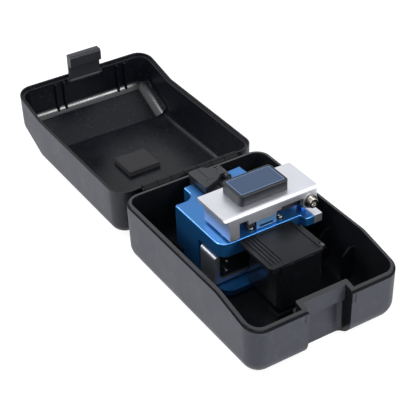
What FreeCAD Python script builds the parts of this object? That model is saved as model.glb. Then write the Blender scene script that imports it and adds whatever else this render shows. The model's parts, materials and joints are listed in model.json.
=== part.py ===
"""Optical fibre cleaver seated in its fitted, hinged carrying case.

All lengths are in millimetres. The origin is the centre of the case tray's underside, +X points
to the latch, +Y to the pivot side of the cleaver and +Z up. The cleaver's own pieces are drawn
about the point where the blade meets the fibre, with their heights from a level near the tray's
underside, and are then moved to their place in the tray.
"""
import math
import os

import FreeCAD, Part

Vector = FreeCAD.Vector
os.makedirs("parts", exist_ok=True)

# Case sizes
case_length = 137.5
case_width = 100.0
case_wall = 2.9
rim_corner = 10.5
taper = math.tan(math.radians(1.2))
rim_height = 39.4
rim_drop = 7.5
rim_slope_run = 34.8
bottom_round = 11.5
inner_round = 8.0
lid_depth = 31.6
lid_slope_run = 29.5
lid_slope_drop = 14.2
lid_edge_round = 7.0
tongue_height = 1.5
tongue_inset = 1.3
rim_gap = 0.3
front_x = case_length / 2
rear_x = -case_length / 2
rim_kink_x = front_x - rim_slope_run
lid_top = rim_height + lid_depth
lid_slope_start_x = front_x - lid_slope_run
lid_slope_end_z = lid_top - lid_slope_drop
far = 300.0

# Case hinge
hinge_offset = 2.6
hinge_x = rear_x - hinge_offset
hinge_z = rim_height
knuckle_radius = 2.7
knuckle_count = 7
knuckle_span = 66.0
knuckle_gap = 0.4
case_pin_radius = 1.0
pin_fit = 0.05

# Case latch
latch_y = -0.3
latch_width = 23.0
latch_thickness = 2.2
latch_axis_x = front_x - 4.8
latch_axis_z = rim_height - 4.2
latch_barrel_radius = 1.6
latch_pin_radius = 0.7
latch_drop = 19.4
latch_hook_height = 8.1
latch_hook_reach = 4.45
latch_low_z = latch_axis_z - latch_drop
latch_hook_z = (latch_low_z, latch_low_z + latch_hook_height)
latch_hook_end = latch_axis_x - latch_hook_reach
latch_head_round = 1.6
latch_ear_width = 1.0
latch_ear_height = 3.4
recess_y = 0.8
recess_width = 28.4
recess_depth = 10.2
recess_round = 3.0
catch_depth = 3.6
catch_low_z = latch_hook_z[1] + 0.4
moving_gap = 0.3

# Ribs in the case
rib_width = 1.6
cradle_reach = 9.0
cradle_height = 11.0
bin_cradle_height = 4.0
rib_sink = 1.0
far_rib_x = (6.6, 28.6)
far_rib_depth = 10.0
far_rib_slope = 4.6
far_rib_top = 26.5
front_rib_y = (-27.4, 23.6)
front_rib_depth = 6.0
front_rib_top = rim_height - rim_drop - 2.4
lid_rib_y = (-22.5, -16.5, 24.0, 30.0)
lid_rib_depth = 2.2
lid_rib_height = 14.3
lid_rib_low_z = latch_axis_z + lid_rib_height

# Foam pad in the lid
foam_offset_x = (-5.5, 15.5)
foam_offset_y = (-19.0, 4.0)
foam_thickness = 3.4
foam_corner_round = 1.5

# Places in the tray
floor_thickness = 2.5
seat_from_rear = 57.5
seat_y = 6.0
seat = Vector(rear_x + seat_from_rear, seat_y, 0.0)
cleaver_low = floor_thickness - seat.z
seat_gap = 0.3

# Cleaver body, drawn about the cleaving point
deck_top = 39.5
deck_under = 30.5
deck_left = -36.0
deck_right = 13.5
deck_near = -31.8
deck_far = 28.8
base_top = 8.0
base_under = 4.5
base_near = -31.0
base_right = 16.8
spine_right = -10.5
arm_left = -48.7
near_arm = (-18.2, -11.3)
far_arm = (11.0, 22.4)
slot_end = -16.0
lobe_right = 18.5
lobe_near = 22.8
lobe_rise = 3.5
lobe_under = deck_under + lobe_rise
arm_round = 6.0
deck_corner_round = 7.0
base_corner_round = 7.0
small_round = 1.2
edge_break = 0.6

# Pivot of the clamp lid
pivot_y = 28.8
pivot_z = 47.2
pivot_radius = 1.5
lug_radius = 3.4
lug_spans = ((-10.6, -5.6), (5.6, 10.6))
lug_near = 25.4
washer_radius = 4.3
washer_thickness = 0.8
pivot_head_radius = 3.0
pivot_head_height = 2.6
hinge_screw_x = (-12.0, 2.0)

# Rear stop block
block_x = (-16.0, lobe_right)
block_y = (deck_far, 34.6)
block_height = 5.5
block_low = deck_top - block_height

# Clamp lid
lid_x = (-14.3, 14.3)
lid_y = (-29.7, 34.0)
lid_z = (51.0, 56.5)
lid_corner_round = 1.4
lid_front_round = 2.4
ear_width = 3.4
ear_y = (23.8, 33.2)
ear_low = 42.4
ear_round = 3.0
leg_x = (-12.4, 14.3)
leg_y = (-26.0, -19.7)
leg_low = 41.0
pad_x = (-11.5, 8.5)
pad_y = (-15.0, 18.0)
pad_z = (56.5, 63.2)
pad_corner_round = 2.6
label_margin = 1.6
label_inset = 0.3

# Fibre clamps
fibre_z = 40.1
clamp_gap = 0.3
clamp_y = (-5.9, 8.9)
clamp_left_x = (-9.6, -2.4)
clamp_right_x = (2.4, 10.4)
clamp_pocket = 1.5
clamp_frame = 1.6
clamp_pad_depth = 1.2
clamp_corner_round = 0.8
clamp_frame_top = fibre_z - 0.1
upper_plate_x = (-11.0, 12.0)
upper_plate_y = (-12.4, 10.6)
upper_plate_z = (45.6, 51.0)
upper_step = (6.6, 47.4)
upper_step_lean = 0.8
upper_clamp_inset = 0.6
upper_pad_inset = 0.5
upper_clamp_y = (-4.4, 7.4)
upper_pad_thickness = 1.0
anvil_x = (-1.1, 1.1)
anvil_y = (-3.0, 11.0)
anvil_low = 40.9
bumper_x = (-4.0, 8.0)
bumper_y = (12.2, 22.0)
bumper_low = 44.0
magnet_x = 4.0
magnet_y = -22.9
magnet_radius = 2.4
magnet_depth = 1.6

# Blade slide
knob_under_deck = 2.0
cover_under_deck = 2.5
slide_under_deck = 4.5
knob_x = (-7.4, 8.3)
knob_y = (-33.0, -29.5)
knob_z = (9.5, deck_under - knob_under_deck)
knob_edge_round = 0.8
side_bar_x = (5.4, 8.3)
side_bar_end = 10.0
side_bar_top = 12.0
side_corner_round = 3.0
side_end_round = 1.0
tie_depth = 2.0
block_slide_x = (-7.2, 5.0)
block_slide_y = (knob_y[1], -6.0)
block_slide_z = (14.4, deck_under - slide_under_deck)
blade_y = 8.0
blade_radius = 10.0
blade_z = 29.8
blade_half = 0.4
blade_bevel = 1.6
blade_edge_half = 0.05
hub_radius = 2.5
hub_bore_fit = 0.05
web_x = (-5.0, -0.9)
web_end = 12.6
web_round = 4.5
web_foot_height = 1.6
hub_end = blade_half + moving_gap
blade_screw_radius = 3.2
blade_screw_height = 1.6
channel_x = (-7.5, 6.0)
channel_y = (-22.0, 22.0)
channel_top = 36.5
blade_slot_half = 1.0
blade_slot_y = (-17.0, 17.0)
cover_x = (5.05, 7.0)
cover_low_round = 2.6
cover_y = (-29.2, -4.0)
cover_z = (12.3, deck_under - cover_under_deck)
cover_screw_places = ((-24.8, 23.6), (-25.2, 17.3))
rail_centre_x = -2.0
rail_width = 4.6
rail_y = (-26.0, 27.0)
rail_z = (base_top, 11.6)
rail_fit = 0.08
rail_screw_y = (-20.0, 0.5, 21.0)
bearing_x = (-7.0, 3.0)
bearing_y = (-22.0, 0.0)
bearing_z = (9.2, 14.4)

# Fibre holder
holder_x = (-53.8, slot_end - seat_gap)
holder_y = (-10.9, 10.6)
holder_z = (30.7, 40.9)
holder_step_x = -36.6
holder_thin_z = 33.0
holder_thin_round = 1.5
flap_z = (41.5, 45.0)
flap_near = -11.6
flap_far = 4.0
flap_right = -33.2
flap_step_y = -5.0
flap_shoulders = ((-48.8, -2.3), -41.5, (-37.6, -0.5))
flap_neck_rise = 0.3
flap_dot_depth = 0.5
flap_dot_pitch = 2.0
flap_dot_count = 3
flap_groove = 0.4
flap_axis_y = 7.2
flap_axis_z = 43.2
flap_barrel_radius = 1.9
flap_pin_radius = 0.8
flap_ear_spans = ((-49.2, -46.4), (-40.6, -37.8))
flap_pad_spans = ((-52.6, -48.5), (-46.5, -42.0))
flap_pad_half = 2.4
flap_pad_depth = 0.8
flap_dot_x = -40.6
flap_dot_radius = 0.45
groove_depth = 0.9
holder_screw_places = ((-26.0, -7.0), (-26.0, 7.0))

# Scrap bin
bin_x = (13.55, 46.0)
bin_y = (-15.0, 15.2)
bin_z = (8.1, 37.6)
bin_wall = 1.6
bin_corner_round = 3.0
bin_lid_x = (14.7, 46.3)
bin_lid_z = (37.9, 39.5)
bin_lid_near = -20.9
bin_lid_corner_round = 2.4
bin_tab_y = (-19.3, bin_y[0] - seat_gap)
bin_tab_low = 35.8
bin_tab_thickness = 1.4
bin_edge_round = 1.2
bin_axis_y = 16.7
bin_axis_z = 38.1
bin_barrel_radius = 1.3
bin_pin_radius = 0.6
bin_ear_drop = 3.4
bin_ear_spans = ((19.6, 22.4), (41.2, 44.0))
bin_screw_places = ((-10.6, 34.6), (7.0, 34.6))
panel_y = (-8.4, 13.6)
panel_margin = 1.3
panel_depth = 0.5
ridge_pitch = 2.3
ridge_count = 4
ridge_groove = 0.7
ridge_margin = 3.0

# Small screws
small_head_radius = 1.6
small_head_height = 1.3
small_shank_radius = 0.9
small_shank_length = 4.0
socket_share = 0.5
foot_radius = 4.0
foot_inset = 5.5
foot_shift = 2.0
head_clearance = 0.2
screw_seat = 1.2
overlap = 1.0


def box(x, y, z):
    """Make a box between two values on each axis."""
    return Part.makeBox(x[1] - x[0], y[1] - y[0], z[1] - z[0], Vector(x[0], y[0], z[0]))


def middle(values):
    return (values[0] + values[1]) / 2


def rod_x(radius, x, y, z):
    return Part.makeCylinder(radius, x[1] - x[0], Vector(x[0], y, z), Vector(1, 0, 0))


def rod_y(radius, x, y, z):
    return Part.makeCylinder(radius, y[1] - y[0], Vector(x, y[0], z), Vector(0, 1, 0))


def rod_z(radius, x, y, z):
    return Part.makeCylinder(radius, z[1] - z[0], Vector(x, y, z[0]), Vector(0, 0, 1))


def join(shapes):
    """Fuse the shapes into one solid."""
    result = shapes[0]
    if len(shapes) > 1:
        result = shapes[0].multiFuse(shapes[1:])
    return result.removeSplitter()


def corner_arc(before, corner, after, radius):
    """Return the start, middle and end of the arc that rounds a corner of an outline."""
    back = (before - corner).normalize()
    ahead = (after - corner).normalize()
    half_angle = back.getAngle(ahead) / 2
    reach = radius / math.tan(half_angle)
    bisector = (back + ahead).normalize()
    return (corner + back * reach,
            corner + bisector * (radius / math.sin(half_angle) - radius),
            corner + ahead * reach)


def outline_face(corners):
    """Make a flat face from corners given as (u, v, rounding)."""
    points = [Vector(u, v, 0) for u, v, _ in corners]
    edges = []
    starts = []
    ends = []
    for index, (_, _, radius) in enumerate(corners):
        corner = points[index]
        if radius > 0:
            before = points[index - 1]
            after = points[(index + 1) % len(points)]
            start, centre, end = corner_arc(before, corner, after, radius)
            edges.append(Part.Arc(start, centre, end).toShape())
        else:
            start = corner
            end = corner
        starts.append(start)
        ends.append(end)
    for index, end in enumerate(ends):
        start = starts[(index + 1) % len(starts)]
        if end.distanceToPoint(start) > 1e-6:
            edges.append(Part.makeLine(end, start))
    return Part.Face(Part.Wire(Part.__sortEdges__(edges)))


def prism(corners, axis, along):
    """Extrude an outline: its (u, v) are (x, y) for axis z, (x, z) for y and (y, z) for x."""
    face = outline_face(corners)
    if axis == "z":
        face.translate(Vector(0, 0, along[0]))
        return face.extrude(Vector(0, 0, along[1] - along[0]))
    face.rotate(Vector(0, 0, 0), Vector(1, 0, 0), 90)
    if axis == "y":
        face.translate(Vector(0, along[0], 0))
        return face.extrude(Vector(0, along[1] - along[0], 0))
    face.rotate(Vector(0, 0, 0), Vector(0, 0, 1), 90)
    face.translate(Vector(along[0], 0, 0))
    return face.extrude(Vector(along[1] - along[0], 0, 0))


def rounded_plate(x, y, z, radius):
    """Make an upright-sided plate with rounded corners."""
    corners = [(x[0], y[0], radius), (x[1], y[0], radius), (x[1], y[1], radius), (x[0], y[1], radius)]
    return prism(corners, "z", z)


def edges_at(shape, axis, value):
    """Pick the edges that lie wholly at one value of an axis (0 is x, 1 is y, 2 is z)."""
    picked = []
    for edge in shape.Edges:
        bounds = edge.BoundBox
        low = (bounds.XMin, bounds.YMin, bounds.ZMin)[axis]
        high = (bounds.XMax, bounds.YMax, bounds.ZMax)[axis]
        if abs(low - value) < 0.01 and abs(high - value) < 0.01:
            picked.append(edge)
    return picked


def cap_screw(head_radius, head_height, shank_radius, shank_length):
    """Make a socket screw that points down, with the underside of its head at z 0."""
    head = Part.makeCylinder(head_radius, head_height)
    socket_depth = head_height * socket_share
    socket_base = Vector(0, 0, head_height - socket_depth)
    socket = Part.makeCylinder(head_radius * socket_share, socket_depth, socket_base)
    shank = Part.makeCylinder(shank_radius, shank_length, Vector(0, 0, -shank_length))
    return head.cut(socket).fuse(shank).removeSplitter()


def small_screw(place, direction):
    """Set a small cap screw with its head's underside at a place and its head along a direction."""
    screw = cap_screw(small_head_radius, small_head_height, small_shank_radius, small_shank_length)
    turn = FreeCAD.Rotation(Vector(0, 0, 1), direction)
    screw.Placement = FreeCAD.Placement(place, turn)
    return screw


def screw_hole(place, direction):
    """Make the hole that a small screw's shank fits in."""
    hole = Part.makeCylinder(small_shank_radius + pin_fit, small_shank_length + pin_fit,
                             Vector(0, 0, -small_shank_length - pin_fit))
    turn = FreeCAD.Rotation(Vector(0, 0, 1), direction)
    hole.Placement = FreeCAD.Placement(place, turn)
    return hole


def seated(shape):
    """Move a piece of the cleaver to its place in the tray."""
    moved = shape.copy()
    moved.translate(seat)
    return moved


# Case

def case_block(z_wide, z_other, inset):
    """Make a solid with the case's outline that is widest at one height and tapers to another."""
    wires = []
    for z in (z_wide, z_other):
        shrink = inset + abs(z - z_wide) * taper
        half_length = front_x - shrink
        half_width = case_width / 2 - shrink
        radius = rim_corner - shrink
        corners = [(-half_length, -half_width, radius), (half_length, -half_width, radius),
                   (half_length, half_width, radius), (-half_length, half_width, radius)]
        wire = outline_face(corners).OuterWire
        wire.translate(Vector(0, 0, z))
        wires.append(wire)
    return Part.makeLoft(wires, True, True)


def above_rim(raise_by):
    """Make a solid that holds all that lies above the rim's bent parting line."""
    slope = rim_drop / (front_x - rim_kink_x)
    front_z = rim_height + raise_by - slope * (far - rim_kink_x)
    corners = [(-far, rim_height + raise_by, 0), (rim_kink_x, rim_height + raise_by, 0),
               (far, front_z, 0), (far, far, 0), (-far, far, 0)]
    return prism(corners, "y", (-far, far))


def tray_block(inset, low, rounding, top):
    block = case_block(rim_height + tongue_height, low, inset)
    block = block.makeFillet(rounding, edges_at(block, 2, low))
    return block.cut(above_rim(top))


def recess_block(grow, depth, rounding, z):
    """Make the finger recess that the latch hangs in, or its inner wall when it is grown."""
    half = recess_width / 2 + grow
    back = front_x - depth - grow
    corners = [(back, recess_y - half, rounding), (far, recess_y - half, 0),
               (far, recess_y + half, 0), (back, recess_y + half, rounding)]
    return prism(corners, "z", z)


def knuckles(first, step, radius, grow):
    """Make every other barrel of the case hinge, with the web that ties it to its half."""
    pitch = knuckle_span / knuckle_count
    barrels = []
    for index in range(first, knuckle_count, 2):
        low = -knuckle_span / 2 + index * pitch + knuckle_gap / 2 - grow
        high = low + pitch - knuckle_gap + 2 * grow
        barrels.append(rod_y(radius, hinge_x, (low, high), hinge_z))
        if grow == 0:
            web_end_z = hinge_z + step * radius
            web_z = (min(web_end_z, hinge_z + step * rim_gap), max(web_end_z, hinge_z + step * rim_gap))
            barrels.append(box((hinge_x, rear_x + tongue_inset - rim_gap), (low, high), web_z))
    return barrels


def case_pin_bore():
    half = knuckle_span / 2 + case_wall
    return rod_y(case_pin_radius + pin_fit, hinge_x, (-half, half), hinge_z)


def cradle_ribs():
    """Make the corner ribs that locate the cleaver in the tray."""
    left = deck_left + seat.x - moving_gap
    right = bin_x[1] + seat.x + moving_gap
    near_and_rear = ((deck_near + seat.y - moving_gap, -1), (deck_far + seat.y + moving_gap, 1))
    bin_sides = ((bin_y[0] + seat.y - moving_gap, -1), (bin_y[1] + seat.y + moving_gap, 1))
    ribs = []
    z = (floor_thickness - rib_sink, floor_thickness + cradle_height)
    for edge, side in near_and_rear:
        outside = edge + side * rib_width
        ribs.append(box((left - rib_width, left + cradle_reach), sorted((edge, outside)), z))
        ribs.append(box((left - rib_width, left), sorted((outside, edge - side * cradle_reach)), z))
    z = (floor_thickness - rib_sink, floor_thickness + bin_cradle_height)
    for edge, side in bin_sides:
        outside = edge + side * rib_width
        ribs.append(box((right - cradle_reach, right + rib_width), sorted((edge, outside)), z))
        ribs.append(box((right, right + rib_width), sorted((outside, edge - side * cradle_reach)), z))
    return ribs


def wall_ribs():
    """Make the ribs on the far wall beside the cleaver, and the short ribs on the front wall."""
    ribs = []
    far_wall = case_width / 2 - case_wall / 2
    inner = far_wall - far_rib_depth
    for x in far_rib_x:
        corners = [(far_wall, floor_thickness, 0), (far_wall, far_rib_top, 0),
                   (inner + far_rib_slope, far_rib_top, 0), (inner, far_rib_top - far_rib_slope, 0),
                   (inner, floor_thickness, 0)]
        ribs.append(prism(corners, "x", (x, x + rib_width)))
    wall = front_x - case_wall / 2
    for y in front_rib_y:
        rib_z = (floor_thickness, front_rib_top)
        ribs.append(box((wall - front_rib_depth, wall), (y, y + rib_width), rib_z))
    return ribs


def case_tray():
    outer = tray_block(0, 0.0, bottom_round, 0)
    tongue = tray_block(tongue_inset, floor_thickness, inner_round, tongue_height)
    inner = tray_block(case_wall, floor_thickness, inner_round, 2 * tongue_height)
    solid = join([outer, tongue])
    shelf_depth = recess_depth - catch_depth
    shelf_top = catch_low_z + case_wall
    low_wall = recess_block(case_wall, recess_depth, recess_round, (0, shelf_top)).common(solid)
    high_wall = recess_block(case_wall, shelf_depth, small_round, (0, far)).common(solid)
    tray = join([solid.cut(inner), low_wall, high_wall])
    tray = tray.cut(recess_block(0, recess_depth, recess_round, (-far, catch_low_z)))
    tray = tray.cut(recess_block(0, shelf_depth, 0, (-far, far)))
    cleared = knuckles(1, 1, knuckle_radius + rim_gap, knuckle_gap)
    tray = tray.cut(Part.makeCompound(cleared))
    ribs = [rib.common(solid) for rib in wall_ribs()]
    tray = join([tray] + ribs + knuckles(0, -1, knuckle_radius, 0) + cradle_ribs())
    return tray.cut(case_pin_bore())


def lid_block(inset, top_inset, rounding, low):
    """Make the closed lid's outer form, or its inner space when it is inset."""
    top = lid_top - top_inset
    bottom = rim_height - rim_drop
    block = case_block(bottom, top, inset)
    drop = lid_top - lid_slope_end_z
    run = front_x - lid_slope_start_x
    slope = drop / run
    start = lid_slope_start_x
    corners = [(start, top, 0), (far, top - slope * (far - start), 0), (far, far, 0), (start, far, 0)]
    block = block.cut(prism(corners, "y", (-far, far)))
    roof_edges = edges_at(block, 2, top) + slope_edges(block, start, top, slope)
    block = block.makeFillet(rounding, roof_edges)
    return block.common(above_rim(low))


def slope_edges(block, start, top, slope):
    """Pick the edges that lie in the lid's sloping end."""
    picked = []
    for edge in block.Edges:
        on_slope = True
        for vertex in edge.Vertexes:
            expected = top - slope * (vertex.X - start)
            on_slope = on_slope and vertex.X > start - 0.01 and abs(vertex.Z - expected) < 0.01
        level = abs(edge.BoundBox.ZMin - top) < 0.01
        if on_slope and not level:
            picked.append(edge)
    return picked


def open_lid(shape):
    """Swing a piece of the closed lid to its open place."""
    swung = shape.copy()
    swung.rotate(Vector(hinge_x, 0, hinge_z), Vector(0, 1, 0), 180)
    return swung


def latch_ears():
    """Make the two ears inside the lid's end wall that carry the latch pin."""
    ears = []
    z = (latch_axis_z - latch_barrel_radius, latch_axis_z - latch_barrel_radius + latch_ear_height)
    for side in (-1, 1):
        inner = latch_y + side * (latch_width / 2 + moving_gap)
        y = sorted((inner, inner + side * latch_ear_width))
        ears.append(rod_y(latch_barrel_radius, latch_axis_x, y, latch_axis_z))
        ears.append(box((latch_axis_x, front_x - case_wall / 2), y, z))
        rear_part = (latch_axis_x - latch_barrel_radius, latch_axis_x + rib_sink)
        ears.append(box(rear_part, y, (latch_axis_z, z[1])))
    return ears


def lid_end_ribs():
    """Make the short ribs that stand in pairs on the inside of the lid's end wall."""
    ribs = []
    wall = front_x - case_wall
    for y in lid_rib_y:
        rib_z = (latch_axis_z, lid_rib_low_z)
        ribs.append(box((wall - lid_rib_depth, wall + rib_sink), (y, y + rib_width), rib_z))
    return ribs


def case_lid():
    outer = lid_block(0, 0, lid_edge_round, rim_gap)
    inner = lid_block(case_wall, case_wall, lid_edge_round - case_wall, -rim_gap)
    rebate = case_block(rim_height - rim_drop, lid_top, tongue_inset - rim_gap)
    rebate = rebate.cut(above_rim(tongue_height + rim_gap))
    lid = outer.cut(inner).cut(rebate)
    lid = lid.cut(Part.makeCompound(knuckles(0, 1, knuckle_radius + rim_gap, knuckle_gap)))
    lid = join([lid] + knuckles(1, 1, knuckle_radius, 0) + latch_ears() + lid_end_ribs())
    half = latch_width / 2 + 2 * latch_ear_width
    bore_y = (latch_y - half, latch_y + half)
    latch_bore = rod_y(latch_pin_radius + pin_fit, latch_axis_x, bore_y, latch_axis_z)
    return open_lid(lid.cut(Part.makeCompound([case_pin_bore(), latch_bore])))


def case_hinge_pin():
    half = knuckle_span / 2
    return rod_y(case_pin_radius, hinge_x, (-half, half), hinge_z)


def case_latch():
    y = (latch_y - latch_width / 2, latch_y + latch_width / 2)
    barrel = rod_y(latch_barrel_radius, latch_axis_x, y, latch_axis_z)
    plate_x = (latch_axis_x - latch_thickness / 2, latch_axis_x + latch_thickness / 2)
    plate = box(plate_x, y, (latch_low_z, latch_axis_z))
    hook_plan = [(latch_hook_end, latch_hook_z[0], latch_head_round),
                 (plate_x[1], latch_hook_z[0], edge_break),
                 (plate_x[1], latch_hook_z[1], 0),
                 (latch_hook_end, latch_hook_z[1], edge_break)]
    hook = prism(hook_plan, "y", y)
    latch = join([barrel, plate, hook])
    bore = rod_y(latch_pin_radius + pin_fit, latch_axis_x, y, latch_axis_z)
    return open_lid(latch.cut(bore))


def case_latch_pin():
    half = latch_width / 2 + moving_gap + latch_ear_width
    return open_lid(rod_y(latch_pin_radius, latch_axis_x, (latch_y - half, latch_y + half), latch_axis_z))


def lid_foam_pad():
    """Make the foam block in the lid that holds the cleaver's press pad down."""
    roof = lid_top - case_wall
    x = (seat.x + foam_offset_x[0], seat.x + foam_offset_x[1])
    y = (seat.y + foam_offset_y[0], seat.y + foam_offset_y[1])
    return open_lid(rounded_plate(x, y, (roof - foam_thickness, roof), foam_corner_round))


# Cleaver body

def deck_plan():
    """List the corners of the deck with its two fork arms, seen from above."""
    return [(deck_left, deck_near, small_round),
            (deck_right, deck_near, deck_corner_round),
            (deck_right, lobe_near, small_round),
            (lobe_right, lobe_near, small_round),
            (lobe_right, deck_far, 0),
            (deck_left, deck_far, 0),
            (deck_left, far_arm[1], arm_round),
            (arm_left, far_arm[1], small_round),
            (arm_left, far_arm[0], small_round),
            (slot_end, far_arm[0], small_round),
            (slot_end, near_arm[1], small_round),
            (arm_left, near_arm[1], small_round),
            (arm_left, near_arm[0], small_round),
            (deck_left, near_arm[0], arm_round)]


def body_frame():
    deck = prism(deck_plan(), "z", (deck_under, deck_top))
    deck = deck.makeFillet(edge_break, edges_at(deck, 2, deck_top))
    under_lobe = box((deck_right, far), (lobe_near - small_round, far), (deck_under, lobe_under))
    spine_plan = [(deck_left, deck_near, small_round), (spine_right, deck_near, 0),
                  (spine_right, deck_far, 0), (deck_left, deck_far, 0)]
    spine = prism(spine_plan, "z", (base_under, deck_under))
    base_plan = [(deck_left, base_near, 0), (base_right, base_near, base_corner_round),
                 (base_right, deck_far, small_round), (deck_left, deck_far, 0)]
    base = prism(base_plan, "z", (base_under, base_top))
    lugs = []
    for span in lug_spans:
        lugs.append(rod_x(lug_radius, span, pivot_y, pivot_z))
        lugs.append(box(span, (lug_near, pivot_y), (deck_top - edge_break, pivot_z)))
    body = join([deck.cut(under_lobe), spine, base] + lugs)
    tools = [box(channel_x, channel_y, (deck_under - overlap, channel_top)),
             box((-blade_slot_half, blade_slot_half), blade_slot_y, (channel_top - overlap, far)),
             rod_x(pivot_radius + pin_fit, lid_x, pivot_y, pivot_z),
             rod_z(magnet_radius + pin_fit, magnet_x, magnet_y, (deck_top - magnet_depth, far))]
    for x in (clamp_left_x, clamp_right_x):
        grown = (x[0] - pin_fit, x[1] + pin_fit)
        y = (clamp_y[0] - pin_fit, clamp_y[1] + pin_fit)
        tools.append(box(grown, y, (deck_top - clamp_pocket, far)))
    for screw in body_screw_places():
        tools.append(screw_hole(screw[0], screw[1]))
    return body.cut(Part.makeCompound(tools))


def body_screw_places():
    """List the place and direction of each small screw that bites into the body."""
    up = Vector(0, 0, 1)
    block_seat_y = block_y[1] - 2 * small_head_height
    block_middle = middle((block_low, deck_top))
    holder_seat_z = holder_z[1] - small_head_height - head_clearance
    places = [(Vector(x, block_seat_y, block_middle), Vector(0, 1, 0)) for x in hinge_screw_x]
    places += [(Vector(bin_x[0] + bin_wall, y, z), Vector(1, 0, 0)) for y, z in bin_screw_places]
    places += [(Vector(rail_centre_x, y, rail_z[0] + screw_seat), up) for y in rail_screw_y]
    places += [(Vector(x, y, holder_seat_z), up) for x, y in holder_screw_places]
    return places


def screw_group(count, first):
    """Make some of the small screws that bite into the body, as one group."""
    places = body_screw_places()[first:first + count]
    return Part.makeCompound([small_screw(place, direction) for place, direction in places])


def base_feet():
    feet = []
    for x in (deck_left + foot_inset, deck_right - foot_inset - foot_shift):
        for y in (base_near + foot_inset + foot_shift, deck_far - foot_inset):
            feet.append(rod_z(foot_radius, x, y, (cleaver_low + seat_gap, base_under)))
    return Part.makeCompound(feet)


def hinge_block():
    block = box(block_x, block_y, (block_low, deck_top))
    block = block.makeFillet(edge_break, edges_at(block, 1, block_y[1]))
    tools = []
    for place, direction in body_screw_places()[:2]:
        tools.append(screw_hole(place, direction))
        tools.append(rod_y(small_head_radius + head_clearance, place.x, (place.y, far), place.z))
    return block.cut(Part.makeCompound(tools))


def lower_clamp(x):
    """Make a lower clamp frame, set in the deck, with a pocket for its rubber pad."""
    z = (deck_top - clamp_pocket, clamp_frame_top)
    frame = rounded_plate(x, clamp_y, z, clamp_corner_round)
    return frame.cut(clamp_window(x, pin_fit, far))


def clamp_window(x, grow, top):
    """Make the rubber pad that sits in a clamp frame, or its pocket when it is grown."""
    inset = clamp_frame - grow
    return rounded_plate((x[0] + inset, x[1] - inset), (clamp_y[0] + inset, clamp_y[1] - inset),
                         (clamp_frame_top - clamp_pad_depth, top), clamp_corner_round)


def lower_clamp_pads():
    pads = [clamp_window(x, 0, fibre_z) for x in (clamp_left_x, clamp_right_x)]
    return Part.makeCompound(pads)


def body_magnet():
    return rod_z(magnet_radius, magnet_x, magnet_y, (deck_top - magnet_depth, leg_low - 2 * clamp_gap))


# Fibre holder

def holder_plate():
    thick = box((holder_step_x, holder_x[1]), holder_y, holder_z)
    thin = rounded_plate((holder_x[0], holder_step_x + holder_thin_round * 2), holder_y,
                         (holder_thin_z, holder_z[1]), holder_thin_round)
    parts = [thick, thin]
    for span in flap_ear_spans:
        parts.append(rod_x(flap_barrel_radius, span, flap_axis_y, flap_axis_z))
        parts.append(box(span, (flap_axis_y - flap_barrel_radius, flap_axis_y + flap_barrel_radius),
                         (holder_z[1] - overlap, flap_axis_z)))
    plate = join(parts)
    groove = prism([(-groove_depth, holder_z[1], 0), (0, holder_z[1] - groove_depth, 0),
                    (groove_depth, holder_z[1], 0)], "x", (-far, far))
    tools = [groove, rod_x(flap_pin_radius + pin_fit, (holder_x[0], holder_x[1]), flap_axis_y, flap_axis_z)]
    for place, direction in body_screw_places()[-2:]:
        tools.append(screw_hole(place, direction))
        tools.append(rod_z(small_head_radius + head_clearance, place.x, place.y, (place.z, far)))
    return plate.cut(Part.makeCompound(tools))


def holder_flap():
    barrel_x = (flap_ear_spans[0][1] + moving_gap, flap_ear_spans[1][0] - moving_gap)
    left_shoulder, right_shoulder, right_waist = flap_shoulders
    plan = [(holder_x[0], flap_near, small_round),
            (flap_right, flap_near, small_round),
            (right_waist[0], right_waist[1], arm_round / 2),
            (right_shoulder, flap_far, small_round),
            (left_shoulder[0], flap_far, small_round),
            (holder_x[0], left_shoulder[1], small_round)]
    plate = prism(plan, "z", flap_z)
    plate = plate.makeFillet(edge_break, edges_at(plate, 2, flap_z[1]))
    neck = box(barrel_x, (flap_far - small_round, flap_axis_y),
               (flap_z[0] + flap_neck_rise, flap_axis_z + flap_barrel_radius))
    barrel = rod_x(flap_barrel_radius, barrel_x, flap_axis_y, flap_axis_z)
    groove_y = (flap_step_y - flap_groove, flap_step_y)
    tools = [rod_x(flap_pin_radius + pin_fit, barrel_x, flap_axis_y, flap_axis_z),
             box((-far, flap_dot_x), groove_y, (flap_z[1] - flap_groove, far))]
    for span in flap_pad_spans:
        tools.append(box(span, (-flap_pad_half, flap_pad_half), (0, flap_z[0] + flap_pad_depth)))
    for index in range(flap_dot_count):
        y = flap_step_y + (index - 1) * flap_dot_pitch
        tools.append(rod_z(flap_dot_radius, flap_dot_x + screw_seat, y, (flap_z[1] - flap_dot_depth, far)))
    return join([plate, neck, barrel]).cut(Part.makeCompound(tools))


def holder_flap_pads():
    pads = []
    half = flap_pad_half - pin_fit
    for span in flap_pad_spans:
        inner = (span[0] + pin_fit, span[1] - pin_fit)
        pads.append(box(inner, (-half, half), (holder_z[1] + clamp_gap, flap_z[0] + flap_pad_depth)))
    return Part.makeCompound(pads)


def holder_flap_pin():
    return rod_x(flap_pin_radius, (flap_ear_spans[0][0], flap_ear_spans[1][1]), flap_axis_y, flap_axis_z)


# Blade slide
knob_under_deck = 2.0
cover_under_deck = 2.5
slide_under_deck = 4.5

def guide_rail():
    half = rail_width / 2
    rail = box((rail_centre_x - half, rail_centre_x + half), rail_y, rail_z)
    tools = []
    for y in rail_screw_y:
        tools.append(rod_z(small_shank_radius + pin_fit, rail_centre_x, y, (0, far)))
        head_z = (rail_z[0] + screw_seat, far)
        tools.append(rod_z(small_head_radius + head_clearance, rail_centre_x, y, head_z))
    return rail.cut(Part.makeCompound(tools))


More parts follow.
